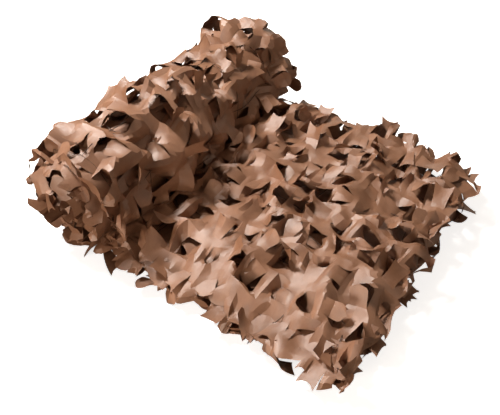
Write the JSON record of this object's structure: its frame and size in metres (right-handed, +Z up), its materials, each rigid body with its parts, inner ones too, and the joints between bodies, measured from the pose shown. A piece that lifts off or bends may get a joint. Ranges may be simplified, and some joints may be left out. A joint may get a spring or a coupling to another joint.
{
  "type": "shade net",
  "caption": "Leaf-cut shade net in brown coated cloth, folded into a strip and partly rolled, with its loose end lying flat.",
  "frame": {"origin": "on the floor under the middle of the whole net", "axes": "+X along the roll, +Y from the loose end to the roll, +Z up"},
  "size_m": [0.528, 0.6302, 0.213],
  "materials": {
    "leaf_cloth": "satin"
  },
  "bodies": {
    "root": {"roll": "leaf_cloth", "loose_end": "leaf_cloth"}
  },
  "joints": []
}
